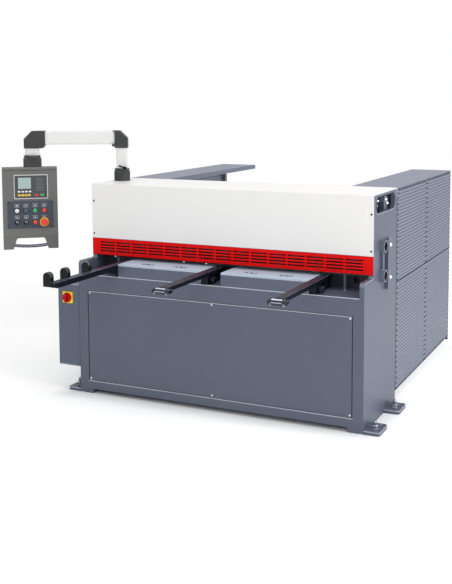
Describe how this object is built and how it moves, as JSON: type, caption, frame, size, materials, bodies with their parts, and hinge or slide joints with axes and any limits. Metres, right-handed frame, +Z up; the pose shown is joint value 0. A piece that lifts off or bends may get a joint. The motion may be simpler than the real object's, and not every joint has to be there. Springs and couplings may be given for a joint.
{
  "type": "mechanical guillotine shear",
  "caption": "Floor-standing sheet-metal guillotine shear with table, covered blade beam, slotted finger guard, front arms, rear guards and a swivelling control pendant.",
  "frame": {"origin": "on the floor, at the centre of the four anchor holes in the foot pads", "axes": "+X along the blade to the operator's right, +Y from the operator to the back, +Z up"},
  "size_m": [2.3889, 2.501, 1.503],
  "materials": {
    "body_paint": "satin, slightly textured powder coat",
    "dark_paint": "satin",
    "table_steel": "ground",
    "blade_steel": "ground",
    "zinc_sheet": "zinc plated",
    "cover_white": "smooth satin powder coat",
    "guard_red": "gloss",
    "pendant_paint": "fine texture",
    "clamp_dark": "satin",
    "black_plastic": "moulded",
    "roller_steel": "ground and plated",
    "switch_yellow": "moulded",
    "switch_red": "moulded",
    "arm_white": "satin",
    "controller_grey": "moulded",
    "button_plate": "printed film"
  },
  "bodies": {
    "frame": {"side_plate_left": "body_paint", "side_plate_right": "body_paint", "front_frame": "body_paint", "front_panel": "body_paint", "cross_tube": "body_paint", "bed_plate": "dark_paint", "table_block_left": "body_paint", "table_block_right": "body_paint", "wear_strip_left": "table_steel", "wear_strip_right": "table_steel", "lower_blade": "blade_steel", "blade_beam": "dark_paint", "upper_blade": "blade_steel", "hold_down_beam": "dark_paint", "beam_hanger_left": "body_paint", "beam_hanger_right": "body_paint", "top_cover": "cover_white", "finger_guard": "guard_red", "guide_left": "body_paint", "guide_right": "body_paint", "squaring_arm": "dark_paint", "support_arm_1": "dark_paint", "support_arm_2": "dark_paint", "electric_cabinet": "body_paint", "cabinet_hinges": "body_paint", "foot_front_left": "body_paint", "foot_front_right": "body_paint", "foot_rear_left": "body_paint", "foot_rear_right": "body_paint", "guard_frame_left": "body_paint", "guard_frame_right": "body_paint", "guard_sheets_left_front": "body_paint", "guard_sheets_left_rear": "body_paint", "guard_sheets_right_front": "body_paint", "guard_sheets_right_rear": "body_paint", "guard_roof_left": "body_paint", "guard_roof_right": "body_paint", "rear_chute": "zinc_sheet", "back_gauge": "dark_paint", "arm_base": "clamp_dark"},
    "stop_1": {"flip_stop_1": "black_plastic"},
    "stop_2": {"flip_stop_2": "black_plastic"},
    "stop_3": {"flip_stop_3": "black_plastic"},
    "roller_1": {"roller_1": "roller_steel"},
    "roller_2": {"roller_2": "roller_steel"},
    "door": {"cabinet_door": "body_paint", "switch_plate": "switch_yellow"},
    "knob": {"switch_knob": "switch_red"},
    "arm": {"arm_column": "arm_white", "arm_elbow": "clamp_dark", "arm_tube": "arm_white", "arm_head": "clamp_dark", "head_tube": "arm_white"},
    "pendant": {"pendant_neck": "clamp_dark", "pendant_box": "pendant_paint", "pendant_grip": "pendant_paint", "grip_bar": "roller_steel", "controller": "controller_grey", "button_plate": "button_plate"},
    "stop_button": {"emergency_stop": "switch_red"}
  },
  "joints": [
    {"name": "arm_swivel", "type": "hinge", "parent": "frame", "child": "arm", "pos_m": [-0.8, 0.1035, 1.275], "axis": [0, 0, 1], "range_deg": [-75, 30]},
    {"name": "pendant_swivel", "type": "hinge", "parent": "arm", "child": "pendant", "pos_m": [-1.28625, -0.13366, 1.355], "axis": [0, 0, 1], "range_deg": [-90, 90]},
    {"name": "emergency_stop_press", "type": "slide", "parent": "pendant", "child": "stop_button", "axis": [-0.6157, 0.788, 0], "range_m": [0, 0.004]},
    {"name": "door_hinge", "type": "hinge", "parent": "frame", "child": "door", "pos_m": [-1.0053, -0.27935, 0.387], "axis": [0, 0, -1], "range_deg": [0, 100]},
    {"name": "main_switch", "type": "hinge", "parent": "door", "child": "knob", "pos_m": [-0.931, -0.3115, 0.548], "axis": [0, -1, 0], "range_deg": [0, 90]},
    {"name": "stop_1_flip", "type": "hinge", "parent": "frame", "child": "stop_1", "pos_m": [-0.6533, -0.8605, 0.751], "axis": [1, 0, 0], "range_deg": [0, 90]},
    {"name": "stop_2_flip", "type": "hinge", "parent": "frame", "child": "stop_2", "pos_m": [-0.6533, -0.7125, 0.751], "axis": [1, 0, 0], "range_deg": [0, 90]},
    {"name": "stop_3_flip", "type": "hinge", "parent": "frame", "child": "stop_3", "pos_m": [-0.6533, -0.5125, 0.751], "axis": [1, 0, 0], "range_deg": [0, 90]},
    {"name": "roller_1_spin", "type": "hinge", "parent": "frame", "child": "roller_1", "pos_m": [-0.039, -0.7785, 0.748], "axis": [1, 0, 0], "continuous": true},
    {"name": "roller_2_spin", "type": "hinge", "parent": "frame", "child": "roller_2", "pos_m": [0.579, -0.7785, 0.748], "axis": [1, 0, 0], "continuous": true}
  ]
}
